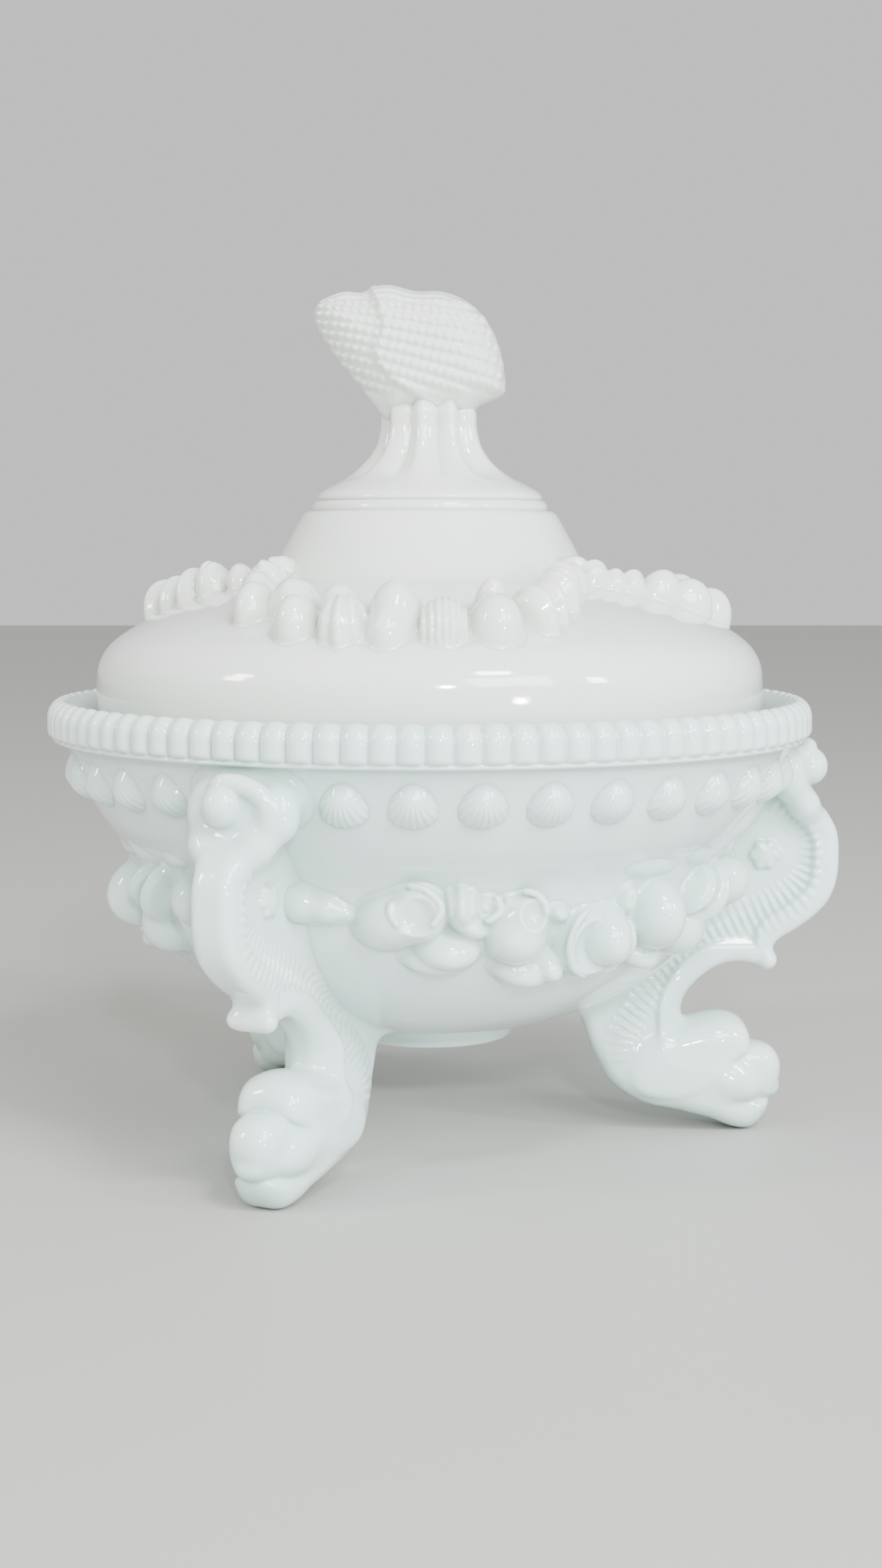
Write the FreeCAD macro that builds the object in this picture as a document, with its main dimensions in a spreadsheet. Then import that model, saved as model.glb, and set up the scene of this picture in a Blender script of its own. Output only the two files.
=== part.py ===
"""Covered footed dish of pressed milk glass: a bowl on three scroll legs and a domed lid with a shell finial.

The bowl's axis is +Z and the soles of the three paws stand on the plane Z = 0. Millimetres and degrees.
"""

import FreeCAD, Part
import math
import os

import Sketcher
from FreeCAD import Placement, Rotation, Vector

# Driving dimensions. Radii are from the bowl's axis and heights are from the sole plane.
DIMENSIONS = {
    # rim and lid seat
    "rim_radius": 80.0,
    "rib_root_radius": 77.6,
    "rib_valley_radius": 78.2,
    "rib_count": 96,
    "rim_low": 86.4,
    "rim_top": 93.8,
    "rim_inner_radius": 71.5,
    "seat_height": 88.5,
    "mouth_radius": 66.5,
    # outside of the bowl, from the rim down
    "neck_radius": 75.4,
    "neck_height": 84.4,
    "frieze_low_radius": 71.6,
    "frieze_low_height": 74.2,
    "crease_radius": 66.4,
    "crease_height": 66.2,
    "cove_curve": 14.0,
    "waist_radius": 61.5,
    "waist_height": 58.0,
    "belly_side_radius": 52.6,
    "belly_side_height": 39.2,
    "belly_side_curve": 42.0,
    "belly_low_curve": 66.0,
    "foot_ring_radius": 17.5,
    "foot_ring_top": 24.4,
    "foot_ring_low": 21.5,
    # inside of the bowl
    "inner_shoulder_height": 76.0,
    "inner_waist_radius": 57.0,
    "inner_side_radius": 48.0,
    "inner_side_height": 42.6,
    "inner_side_curve": 37.5,
    "inner_low_curve": 61.0,
    "inner_floor": 30.0,
    # frieze of scallops under the rim
    "scallop_radius": 4.9,
    "scallop_reach": 72.2,
    "scallop_height": 78.1,
    # legs
    "first_leg_azimuth": 2.6,
    "scroll_width": 9.0,
    "scroll_top_height": 83.0,
    "scroll_root_radius": 58.0,
    "notch_radius": 79.4,
    "notch_height": 73.6,
    "scroll_curve": 17.8,
    "scroll_end_radius": 77.6,
    "scroll_end_height": 42.8,
    "spur_radius": 73.0,
    "spur_height": 35.4,
    "spur_lip_radius": 67.5,
    "spur_lip_height": 36.2,
    "arch_curve": 12.5,
    "arch_mid_radius": 57.4,
    "leg_split_height": 32.6,
    "head_radius": 4.9,
    "head_reach": 80.0,
    "head_height": 80.2,
    "head_lobe_radius": 4.5,
    "head_lobe_offset": 8.3,
    "head_lobe_reach": 75.5,
    "head_lobe_height": 77.2,
    "foot_width": 10.0,
    "foot_root_radius": 29.0,
    "arch_low_curve": 9.0,
    "ankle_radius": 54.2,
    "ankle_height": 25.0,
    "cuff_radius": 68.6,
    "cuff_height": 20.0,
    "cuff_curve": 9.4,
    "toe_low_radius": 72.6,
    "toe_low_height": 5.2,
    "toe_curve": 8.6,
    "sole_height": 0.0,
    "sole_outer_radius": 68.2,
    "sole_inner_radius": 63.4,
    "pad_curve": 7.0,
    "heel_radius": 33.2,
    "heel_height": 21.6,
    "shin_curve": 36.0,
    "toe_ball_radius": 4.4,
    "toe_ball_reach": 65.5,
    "toe_ball_height": 9.6,
    "toe_ball_offset": 5.2,
    "pad_ball_radius": 4.4,
    "pad_ball_reach": 58.0,
    "pad_ball_height": 8.2,
    "pad_ball_offset": 4.0,
    # lid
    "lid_side_radius": 69.4,
    "lid_belt_radius": 69.7,
    "lid_belt_height": 97.0,
    "shoulder_radius": 61.5,
    "shoulder_height": 108.4,
    "shoulder_curve": 13.4,
    "collar_radius": 34.0,
    "collar_foot": 118.5,
    "dome_curve": 95.0,
    "collar_top_radius": 25.7,
    "collar_top": 132.3,
    "lid_inner_radius": 64.8,
    "lid_inner_side": 97.0,
    "inner_dome_radius": 57.5,
    "inner_dome_height": 104.4,
    "inner_shoulder_curve": 9.5,
    "collar_inner_radius": 27.0,
    "collar_inner_foot": 114.6,
    "inner_dome_curve": 95.0,
    "collar_inner_top_radius": 20.5,
    "collar_inner_top": 127.8,
    "locating_radius": 65.9,
    "locating_inner_radius": 62.9,
    "locating_low": 85.4,
    # finial
    "disc_radius": 24.6,
    "disc_top": 134.6,
    "skirt_radius": 21.4,
    "skirt_curve": 17.5,
    "stem_radius": 10.2,
    "stem_height": 148.0,
    "stem_top": 160.0,
    "shell_length": 19.0,
    "shell_centre_x": -2.8,
    "shell_centre_height": 166.6,
    "shell_half_depth": 11.8,
    "shell_half_height": 12.4,
    "shell_tilt": 10.0,
    "umbo_radius": 9.0,
    "umbo_reach": 15.0,
    "umbo_height": 170.4,
}

LEG_NAMES = ("right", "rear_left", "front_left")
LEG_STEP = 120.0

# Scallops of the frieze: ten between two neighbouring legs.
SCALLOPS_PER_BAY = 10
SCALLOP_STEP = 10.0
FIRST_SCALLOP = 15.0

# Fruits of one garland: (degrees from the middle of the bay, height, radius), from the left end to the right.
FRUITS = (
    (-52.5, 57.6, 3.0),
    (-47.0, 57.2, 3.4),
    (-41.5, 56.8, 4.2),
    (-36.0, 57.0, 5.2),
    (-28.0, 57.6, 4.4),
    (-30.0, 50.4, 4.6),
    (-18.5, 53.6, 6.6),
    (-14.0, 46.6, 4.8),
    (-2.5, 50.0, 7.0),
    (7.0, 46.4, 4.4),
    (12.5, 53.6, 7.0),
    (23.0, 49.0, 5.0),
    (28.0, 55.6, 5.2),
    (37.0, 57.4, 4.6),
    (45.0, 57.6, 4.8),
)
FRUIT_SINK = 0.6

# Shells of one lid swag: (degrees from its middle, distance from the axis, height, radius).
SWAG_MIDDLES = {"front": -92.5, "right": 27.5, "left": 147.5}
SWAG_SHELLS = (
    (-52.0, 37.0, 119.0, 4.8),
    (-41.5, 46.0, 116.0, 5.2),
    (-32.0, 52.5, 113.4, 5.4),
    (-22.0, 56.6, 111.2, 5.6),
    (-12.0, 58.2, 110.2, 5.8),
    (-2.0, 58.6, 110.0, 5.8),
    (8.0, 58.2, 110.2, 5.8),
    (18.0, 56.8, 111.0, 5.6),
    (27.5, 52.8, 113.2, 5.4),
    (36.5, 46.8, 115.6, 5.2),
    (45.0, 41.0, 117.6, 4.8),
    (52.5, 36.6, 119.4, 4.6),
)

document = FreeCAD.newDocument("covered_dish")
sub_parts = []


def make_sheet():
    """Spreadsheet holding every driving dimension under its own alias."""
    sheet = document.addObject("Spreadsheet::Sheet", "dims")
    for row, (alias, value) in enumerate(DIMENSIONS.items(), start=1):
        sheet.set(f"A{row}", alias)
        sheet.set(f"B{row}", str(value))
        sheet.setAlias(f"B{row}", alias)
    document.recompute()
    return sheet


def bind(item, **expressions):
    """Bind properties of an object to expressions on the sheet."""
    for name, expression in expressions.items():
        item.setExpression(name, expression)


def keep(item, label):
    """Make an object one of the written sub-parts."""
    item.Label = label
    sub_parts.append(item)
    return item


def arc_middle(start, end, radius):
    """Middle of the arc from start to end; a positive radius bulges to the left of the travel."""
    chord = end.sub(start)
    half = chord.Length / 2.0
    rise = abs(radius) - math.sqrt(radius * radius - half * half)
    left = Vector(-chord.y, chord.x, 0).normalize()
    side = 1.0 if radius > 0 else -1.0
    return start.add(chord.multiply(0.5)).add(left.multiply(side * rise))


def outline_sketch(body, corners, curves):
    """Closed outline in the body's XZ plane.

    corners are pairs of aliases (radius, height), with None for the axis. curves maps the index of a
    corner to (alias of the curve's radius, side) for the arc that leaves that corner.
    """
    sketch = body.newObject("Sketcher::SketchObject", body.Name + "_outline")
    plane = next(item for item in body.Origin.OriginFeatures if item.Role == "XZ_Plane")
    sketch.AttachmentSupport = (plane, "")
    sketch.MapMode = "FlatFace"
    points = [Vector(DIMENSIONS[r] if r else 0.0, DIMENSIONS[z], 0) for r, z in corners]
    count = len(points)
    first = [1] * count
    for index, start in enumerate(points):
        end = points[(index + 1) % count]
        if index in curves:
            alias, side = curves[index]
            middle = arc_middle(start, end, side * DIMENSIONS[alias])
            # A sketch holds an arc counter-clockwise, so one that bulges left starts at its far end.
            if side > 0:
                first[index] = 2
                start, end = end, start
            sketch.addGeometry(Part.Arc(start, middle, end), False)
        else:
            sketch.addGeometry(Part.LineSegment(start, end), False)
    for index in range(count):
        after = (index + 1) % count
        sketch.addConstraint(Sketcher.Constraint("Coincident", index, 3 - first[index], after, first[after]))
    for index, (r, z) in enumerate(corners):
        if r:
            place_corner(sketch, "DistanceX", index, first[index], r, f"corner{index}_r")
        else:
            sketch.addConstraint(Sketcher.Constraint("PointOnObject", index, first[index], -2))
        place_corner(sketch, "DistanceY", index, first[index], z, f"corner{index}_z")
    for index, (alias, _) in curves.items():
        number = sketch.addConstraint(Sketcher.Constraint("Radius", index, DIMENSIONS[alias]))
        sketch.renameConstraint(number, f"curve{index}")
        sketch.setExpression(f"Constraints.curve{index}", f"dims.{alias}")
    return sketch


def place_corner(sketch, kind, edge, end, alias, name):
    """Hold one coordinate of a corner at a sheet value, measured from the sketch origin."""
    number = sketch.addConstraint(Sketcher.Constraint(kind, -1, 1, edge, end, DIMENSIONS[alias]))
    sketch.renameConstraint(number, name)
    sketch.setExpression(f"Constraints.{name}", f"dims.{alias}")


def turned(name, corners, curves=None):
    """Solid of revolution about the bowl's axis."""
    body = document.addObject("PartDesign::Body", name)
    sketch = outline_sketch(body, corners, curves or {})
    turn = body.newObject("PartDesign::Revolution", name + "_turn")
    turn.Profile = sketch
    turn.ReferenceAxis = (sketch, ["V_Axis"])
    turn.Angle = 360.0
    document.recompute()
    return body


def plate(name, corners, curves, width):
    """Flat plate in the XZ plane, thickened equally to both sides."""
    body = document.addObject("PartDesign::Body", name)
    sketch = outline_sketch(body, corners, curves)
    pad = body.newObject("PartDesign::Pad", name + "_pad")
    pad.Profile = sketch
    pad.Midplane = True
    bind(pad, Length=f"dims.{width}")
    document.recompute()
    return body


def ball(name, azimuth, reach, height, radius):
    """Sphere at a place given in polar coordinates about the bowl's axis."""
    item = document.addObject("Part::Sphere", name)
    item.Radius = radius
    angle = math.radians(azimuth)
    item.Placement.Base = Vector(reach * math.cos(angle), reach * math.sin(angle), height)
    return item


def bound_ball(name, radius, reach, height, offset=None, side=1):
    """Sphere in the XZ plane, or beside it by an offset, with every size taken from the sheet."""
    item = document.addObject("Part::Sphere", name)
    bind(item, Radius=f"dims.{radius}")
    item.setExpression("Placement.Base.x", f"dims.{reach}")
    item.setExpression("Placement.Base.z", f"dims.{height}")
    if offset:
        item.setExpression("Placement.Base.y", f"{side} * dims.{offset}")
    return item


def joined(name, pieces):
    """Union of several objects."""
    union = document.addObject("Part::MultiFuse", name)
    union.Shapes = pieces
    return union


def carved(name, base, tool):
    """What is left of one object outside another."""
    cut = document.addObject("Part::Cut", name)
    cut.Base = base
    cut.Tool = tool
    return cut


def turned_copy(label, source, expression):
    """Sub-part with another object's shape, turned about the bowl's axis."""
    copy = document.addObject("Part::Compound", label)
    copy.Links = [source]
    copy.Placement = Placement(Vector(0, 0, 0), Rotation(Vector(0, 0, 1), 0))
    copy.setExpression("Placement.Rotation.Angle", expression)
    return keep(copy, label)


def make_bowl():
    """Bowl shell with its lid seat, and the filled bowl that the ornaments are trimmed to."""
    filled = turned(
        "filled_bowl",
        [
            (None, "foot_ring_top"),
            ("foot_ring_radius", "foot_ring_top"),
            ("belly_side_radius", "belly_side_height"),
            ("waist_radius", "waist_height"),
            ("crease_radius", "crease_height"),
            ("frieze_low_radius", "frieze_low_height"),
            ("neck_radius", "neck_height"),
            ("rib_root_radius", "rim_low"),
            ("rib_root_radius", "rim_top"),
            ("rim_inner_radius", "rim_top"),
            ("rim_inner_radius", "seat_height"),
            (None, "seat_height"),
        ],
        {1: ("belly_low_curve", -1), 2: ("belly_side_curve", -1), 3: ("cove_curve", 1)},
    )
    cavity = turned(
        "bowl_cavity",
        [
            (None, "inner_floor"),
            ("inner_side_radius", "inner_side_height"),
            ("inner_waist_radius", "waist_height"),
            ("mouth_radius", "inner_shoulder_height"),
            ("mouth_radius", "rim_top"),
            (None, "rim_top"),
        ],
        {0: ("inner_low_curve", -1), 1: ("inner_side_curve", -1)},
    )
    keep(carved("bowl", filled, cavity), "bowl_shell")
    ring = turned(
        "foot_ring",
        [
            (None, "foot_ring_low"),
            ("foot_ring_radius", "foot_ring_low"),
            ("foot_ring_radius", "foot_ring_top"),
            (None, "foot_ring_top"),
        ],
    )
    keep(ring, "foot_ring")
    return filled


def make_rim_beading(sheet):
    """Ring of upright half-round ribs around the rim, as one extruded outline."""
    count = int(sheet.rib_count)
    outer = sheet.rim_radius
    valley = sheet.rib_valley_radius
    step = 2.0 * math.pi / count
    edges = []
    for index in range(count):
        angles = [(index + part) * step for part in (-0.5, 0.0, 0.5)]
        radii = (valley, outer, valley)
        start, top, end = [Vector(r * math.cos(a), r * math.sin(a), 0) for r, a in zip(radii, angles)]
        edges.append(Part.Arc(start, top, end).toShape())
    height = sheet.rim_top - sheet.rim_low
    ribbed = Part.Face(Part.Wire(edges)).extrude(Vector(0, 0, height))
    beading = document.addObject("Part::Feature", "rim_ribs")
    beading.Shape = ribbed.cut(Part.makeCylinder(sheet.rib_root_radius, height))
    beading.Placement = Placement(Vector(0, 0, sheet.rim_low), Rotation())
    keep(beading, "rim_beading")


def make_frieze(sheet, filled_bowl):
    """Scallops under the rim: separate solids that share one node."""
    scallops = []
    for bay in range(len(LEG_NAMES)):
        for place in range(SCALLOPS_PER_BAY):
            azimuth = sheet.first_leg_azimuth + bay * LEG_STEP + FIRST_SCALLOP + place * SCALLOP_STEP
            name = f"scallop_{bay}_{place}"
            scallops.append(
                ball(name, azimuth, sheet.scallop_reach, sheet.scallop_height, sheet.scallop_radius)
            )
    keep(carved("frieze", joined("scallops", scallops), filled_bowl), "scallop_frieze")


def make_legs(filled_bowl):
    """Three legs, each a scroll bracket under the rim and a shin with a paw."""
    web = plate(
        "scroll_web",
        [
            ("scroll_root_radius", "scroll_top_height"),
            ("notch_radius", "scroll_top_height"),
            ("notch_radius", "notch_height"),
            ("scroll_end_radius", "scroll_end_height"),
            ("spur_radius", "spur_height"),
            ("spur_lip_radius", "spur_lip_height"),
            ("arch_mid_radius", "leg_split_height"),
            ("foot_root_radius", "leg_split_height"),
        ],
        {2: ("scroll_curve", 1), 5: ("arch_curve", -1)},
        "scroll_width",
    )
    head = [bound_ball("head", "head_radius", "head_reach", "head_height")]
    for side in (-1, 1):
        name = "head_lobe_left" if side < 0 else "head_lobe_right"
        sizes = ("head_lobe_radius", "head_lobe_reach", "head_lobe_height", "head_lobe_offset")
        head.append(bound_ball(name, *sizes, side))
    scroll = carved("scroll", joined("scroll_solid", [web] + head), filled_bowl)

    shin = plate(
        "shin",
        [
            ("foot_root_radius", "leg_split_height"),
            ("arch_mid_radius", "leg_split_height"),
            ("ankle_radius", "ankle_height"),
            ("cuff_radius", "cuff_height"),
            ("toe_low_radius", "toe_low_height"),
            ("sole_outer_radius", "sole_height"),
            ("sole_inner_radius", "sole_height"),
            ("heel_radius", "heel_height"),
        ],
        {
            1: ("arch_low_curve", -1),
            2: ("cuff_curve", 1),
            3: ("toe_curve", 1),
            4: ("pad_curve", 1),
            6: ("shin_curve", 1),
        },
        "foot_width",
    )
    toes = []
    for kind in ("toe", "pad"):
        sizes = [f"{kind}_ball_{size}" for size in ("radius", "reach", "height", "offset")]
        for side in (-1, 1):
            name = f"{kind}_left" if side < 0 else f"{kind}_right"
            toes.append(bound_ball(name, *sizes, side))
    foot = carved("foot", joined("foot_solid", [shin] + toes), filled_bowl)
    for number, name in enumerate(LEG_NAMES):
        turn = f"dims.first_leg_azimuth + {number * LEG_STEP}"
        turned_copy(f"leg_{name}_scroll", scroll, turn)
        turned_copy(f"leg_{name}_paw", foot, turn)


def make_garlands(filled_bowl):
    """Swag of fruit and leaves in each bay between two legs."""
    fruits = []
    for number, (offset, height, radius) in enumerate(FRUITS):
        reach = belly_radius(height) - FRUIT_SINK
        fruits.append(ball(f"fruit_{number}", offset + LEG_STEP / 2.0, reach, height, radius))
    garland = carved("garland", joined("fruits", fruits), filled_bowl)
    for number, name in enumerate(("rear", "left", "front")):
        turned_copy(f"fruit_garland_{name}", garland, f"dims.first_leg_azimuth + {number * LEG_STEP}")


def belly_radius(height):
    """Outer radius of the bowl's belly at a height, along the lower of its two arcs and the upright above."""
    side = Vector(DIMENSIONS["belly_side_radius"], DIMENSIONS["belly_side_height"], 0)
    waist = Vector(DIMENSIONS["waist_radius"], DIMENSIONS["waist_height"], 0)
    if height >= waist.y:
        return waist.x
    middle = arc_middle(side, waist, -DIMENSIONS["belly_side_curve"])
    arc = Part.Arc(side, middle, waist)
    level = Part.Line(Vector(0, height, 0), Vector(1, height, 0))
    crossings = [Vector(point.X, point.Y, point.Z) for point in arc.intersect(level)]
    return max(point.x for point in crossings)


def make_lid():
    """Lid shell, collar and locating ring, and the filled lid that the ornaments are trimmed to."""
    dome = turned(
        "filled_dome",
        [
            (None, "seat_height"),
            ("lid_side_radius", "seat_height"),
            ("lid_belt_radius", "lid_belt_height"),
            ("shoulder_radius", "shoulder_height"),
            ("collar_radius", "collar_foot"),
            (None, "collar_foot"),
        ],
        {2: ("shoulder_curve", -1), 3: ("dome_curve", -1)},
    )
    cone = turned(
        "filled_collar",
        [
            (None, "collar_foot"),
            ("collar_radius", "collar_foot"),
            ("collar_top_radius", "collar_top"),
            (None, "collar_top"),
        ],
    )
    cavity = turned(
        "lid_cavity",
        [
            (None, "locating_low"),
            ("lid_inner_radius", "locating_low"),
            ("lid_inner_radius", "lid_inner_side"),
            ("inner_dome_radius", "inner_dome_height"),
            ("collar_inner_radius", "collar_inner_foot"),
            ("collar_inner_top_radius", "collar_inner_top"),
            (None, "collar_inner_top"),
        ],
        {2: ("inner_shoulder_curve", -1), 3: ("inner_dome_curve", -1)},
    )
    keep(carved("lid_dome", dome, cavity), "lid_shell")
    keep(carved("lid_cone", cone, cavity), "lid_collar")
    ring = turned(
        "locating_ring",
        [
            ("locating_inner_radius", "locating_low"),
            ("locating_radius", "locating_low"),
            ("locating_radius", "seat_height"),
            ("locating_inner_radius", "seat_height"),
        ],
    )
    keep(ring, "lid_locating_ring")
    return joined("filled_lid", [dome, cone])


def make_lid_swags(filled_lid):
    """Three swags of sea shells that meet at the collar."""
    shells = []
    for number, (azimuth, reach, height, radius) in enumerate(SWAG_SHELLS):
        shells.append(ball(f"swag_shell_{number}", azimuth, reach, height, radius))
    swag = carved("swag", joined("swag_shells", shells), filled_lid)
    for name, middle in SWAG_MIDDLES.items():
        turned_copy(f"shell_swag_{name}", swag, str(middle))


def make_finial():
    """Disc on the collar, flared stem, and the scallop lying on its side."""
    disc = turned(
        "disc",
        [
            (None, "collar_top"),
            ("disc_radius", "collar_top"),
            ("disc_radius", "disc_top"),
            (None, "disc_top"),
        ],
    )
    keep(disc, "finial_disc")
    flare = turned(
        "flare",
        [
            (None, "disc_top"),
            ("skirt_radius", "disc_top"),
            ("stem_radius", "stem_height"),
            ("stem_radius", "stem_top"),
            (None, "stem_top"),
        ],
        {1: ("skirt_curve", 1)},
    )
    valves = document.addObject("Part::Ellipsoid", "valves")
    bind(valves, Radius1="dims.shell_half_height", Radius2="dims.shell_length")
    bind(valves, Radius3="dims.shell_half_depth")
    valves.Placement = Placement(Vector(0, 0, 0), Rotation(Vector(0, 1, 0), 0))
    valves.setExpression("Placement.Base.x", "dims.shell_centre_x")
    valves.setExpression("Placement.Base.z", "dims.shell_centre_height")
    valves.setExpression("Placement.Rotation.Angle", "dims.shell_tilt")
    umbo = document.addObject("Part::Sphere", "umbo")
    bind(umbo, Radius="dims.umbo_radius")
    umbo.setExpression("Placement.Base.x", "-dims.umbo_reach")
    umbo.setExpression("Placement.Base.z", "dims.umbo_height")
    scallop = keep(joined("scallop", [valves, umbo]), "finial_shell")
    keep(carved("stem", flare, scallop), "finial_stem")


def check_and_write():
    """Stop if any object failed, then write each sub-part."""
    document.recompute()
    for item in document.Objects:
        if "Invalid" in item.State or "Error" in item.State:
            raise RuntimeError(f"{item.Label}: {item.State}")
    os.makedirs("parts", exist_ok=True)
    for item in sub_parts:
        shape = item.Shape
        if shape.isNull() or not shape.isValid() or shape.Volume <= 0:
            raise RuntimeError(f"{item.Label} has no valid solid")
        shape.exportStep(f"parts/{item.Label}.step")
        print(f"{item.Label:22s} solids {len(shape.Solids):3d}  volume {shape.Volume / 1000.0:7.2f} cm3")


def main():
    sheet = make_sheet()
    filled_bowl = make_bowl()
    make_rim_beading(sheet)
    make_frieze(sheet, filled_bowl)
    make_legs(filled_bowl)
    make_garlands(filled_bowl)
    filled_lid = make_lid()
    make_lid_swags(filled_lid)
    make_finial()
    check_and_write()


main()
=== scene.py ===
"""Covered footed dish of pressed milk glass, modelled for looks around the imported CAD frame.

Lengths inside the builders are millimetres in the CAD frame: the bowl's axis is Z, and the soles
are at Z = 0. Angles round the axis are degrees from +X towards +Y.
"""

import math

import bpy
import numpy as np
import openvdb
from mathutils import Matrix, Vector


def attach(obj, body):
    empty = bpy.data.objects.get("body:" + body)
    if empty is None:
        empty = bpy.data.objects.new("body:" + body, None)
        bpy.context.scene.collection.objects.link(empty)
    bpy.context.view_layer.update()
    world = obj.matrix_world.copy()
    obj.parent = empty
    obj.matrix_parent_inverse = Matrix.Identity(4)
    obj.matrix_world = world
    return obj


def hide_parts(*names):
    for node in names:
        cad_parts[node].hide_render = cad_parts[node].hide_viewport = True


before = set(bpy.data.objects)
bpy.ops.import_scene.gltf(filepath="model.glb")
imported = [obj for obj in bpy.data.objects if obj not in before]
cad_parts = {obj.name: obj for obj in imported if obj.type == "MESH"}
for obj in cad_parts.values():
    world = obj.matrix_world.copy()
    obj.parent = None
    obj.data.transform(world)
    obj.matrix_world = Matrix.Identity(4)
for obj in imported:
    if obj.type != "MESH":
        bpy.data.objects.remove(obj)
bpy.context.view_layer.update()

MM = 0.001
FAR = 6.0  # the largest distance that a block's field holds
UNREACHED = 1e9
LATHE_COLUMNS = 288

# Azimuths of the repeated features.
LEG_AZIMUTHS = {"right": 2.6, "rear_left": 122.6, "front_left": 242.6}
BAY_AZIMUTHS = {"front": -57.4, "rear": 62.6, "left": 182.6}
SWAG_AZIMUTHS = {"front": -92.5, "right": 27.5, "left": 147.5}
RIB_COUNT = 96
RIB_START = -88.7


# ---------------------------------------------------------------- curves


def spline(points, steps=6, closed=False):
    """Catmull-Rom curve through the points."""
    points = np.asarray(points, float)
    count = len(points)
    spans = count if closed else count - 1
    t = np.arange(steps)[:, None] / steps
    pieces = []
    for index in range(spans):
        if closed:
            before, start, end, after = (points[(index + k) % count] for k in (-1, 0, 1, 2))
        else:
            before, start = points[max(index - 1, 0)], points[index]
            end, after = points[index + 1], points[min(index + 2, count - 1)]
        pieces.append(
            0.5 * (
                2 * start + (end - before) * t
                + (2 * before - 5 * start + 4 * end - after) * t ** 2
                + (3 * start - before - 3 * end + after) * t ** 3
            )
        )
    if not closed:
        pieces.append(points[-1:])
    return np.concatenate(pieces)


def smooth_step(value, low, high):
    """0 below low, 1 above high, smooth between; low may be the larger of the two."""
    t = np.clip((value - low) / (high - low), 0.0, 1.0)
    return t * t * (3.0 - 2.0 * t)


def path_coordinates(x, z, path):
    """Distance from each point to a path in the plane, and the length of path up to the nearest point."""
    path = np.asarray(path, float)
    nearest = np.full(np.broadcast(x, z).shape, UNREACHED)
    along = np.zeros(nearest.shape)
    run = 0.0
    for (x0, z0), (x1, z1) in zip(path[:-1], path[1:]):
        dx, dz = x1 - x0, z1 - z0
        length = math.hypot(dx, dz)
        t = np.clip(((x - x0) * dx + (z - z0) * dz) / length ** 2, 0.0, 1.0)
        distance = np.hypot(x - x0 - t * dx, z - z0 - t * dz)
        closer = distance < nearest
        nearest = np.where(closer, distance, nearest)
        along = np.where(closer, run + t * length, along)
        run += length
    return nearest, along


def outline_distance(x, z, outline):
    """Signed distance to a closed outline in the plane, negative inside."""
    outline = np.asarray(outline, float)
    nearest = np.full(np.broadcast(x, z).shape, UNREACHED)
    inside = np.zeros(nearest.shape, bool)
    for (x0, z0), (x1, z1) in zip(outline, np.roll(outline, -1, axis=0)):
        dx, dz = x1 - x0, z1 - z0
        t = np.clip(((x - x0) * dx + (z - z0) * dz) / (dx * dx + dz * dz + 1e-12), 0.0, 1.0)
        nearest = np.minimum(nearest, np.hypot(x - x0 - t * dx, z - z0 - t * dz))
        if z0 != z1:
            inside ^= ((z0 > z) != (z1 > z)) & (x < (z - z0) * dx / dz + x0)
    return np.where(inside, -nearest, nearest)


# ---------------------------------------------------------------- profiles of the turned surfaces

BELLY = [
    (0.0, 23.6), (17.5, 24.2), (30.0, 27.3), (42.0, 32.3), (52.0, 39.2),
    (58.4, 47.2), (61.2, 54.2), (61.8, 58.8), (63.4, 62.6), (65.9, 65.7),
]
BAND = [(66.3, 66.3), (68.2, 68.6), (70.0, 71.3), (71.7, 74.4), (73.7, 79.0), (75.3, 83.2), (76.4, 85.4)]
RIM_TOP = [
    (76.9, 86.4), (77.3, 88.0), (77.4, 91.0), (76.9, 92.7), (75.9, 93.2), (74.6, 92.8),
    (73.1, 91.8), (72.0, 90.4), (71.5, 89.0),
]
SEAT = [(71.2, 88.6), (69.0, 88.45), (67.4, 88.4), (66.7, 88.0), (66.5, 87.0)]
INNER_BOWL = [
    (66.4, 84.0), (65.9, 79.0), (64.3, 74.0), (61.0, 67.5), (58.2, 62.0), (56.8, 56.5),
    (53.5, 49.0), (47.5, 42.6), (38.0, 36.8), (26.0, 32.4), (13.0, 30.6), (0.0, 30.2),
]
DOME = [
    (69.1, 88.8), (69.5, 91.5), (69.7, 96.8), (69.0, 101.2), (66.6, 104.9), (62.0, 108.2),
    (55.0, 111.6), (45.0, 115.2), (37.5, 117.5), (34.6, 118.6),
]
COLLAR = [(33.4, 119.6), (31.6, 122.6), (29.2, 127.0), (27.0, 130.9), (26.2, 131.9)]
DISC_BASE = [(25.6, 132.3), (20.0, 132.6), (12.0, 132.8), (0.0, 132.8)]
LID_INSIDE = [
    (0.0, 127.8), (12.0, 127.6), (19.0, 127.0), (21.6, 125.0), (24.2, 120.5), (27.2, 116.0),
    (34.0, 113.4), (45.0, 109.9), (54.0, 106.2), (60.5, 102.0), (63.9, 96.5), (64.4, 90.5),
]
LOCATING_RING = [
    (64.3, 87.0), (63.9, 85.9), (64.3, 85.5), (65.2, 85.5), (65.7, 86.0), (65.8, 88.2), (66.3, 88.7),
]


def joined_profile(*parts, steps=6):
    """One profile from several smooth stretches that meet at crisp corners."""
    return np.concatenate([spline(part, steps) for part in parts])


def outer_bowl_profile():
    return joined_profile(BELLY, BAND, [(76.9, 86.2), (77.2, 93.0)])


def outer_lid_profile():
    return joined_profile(DOME, COLLAR, DISC_BASE)


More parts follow.
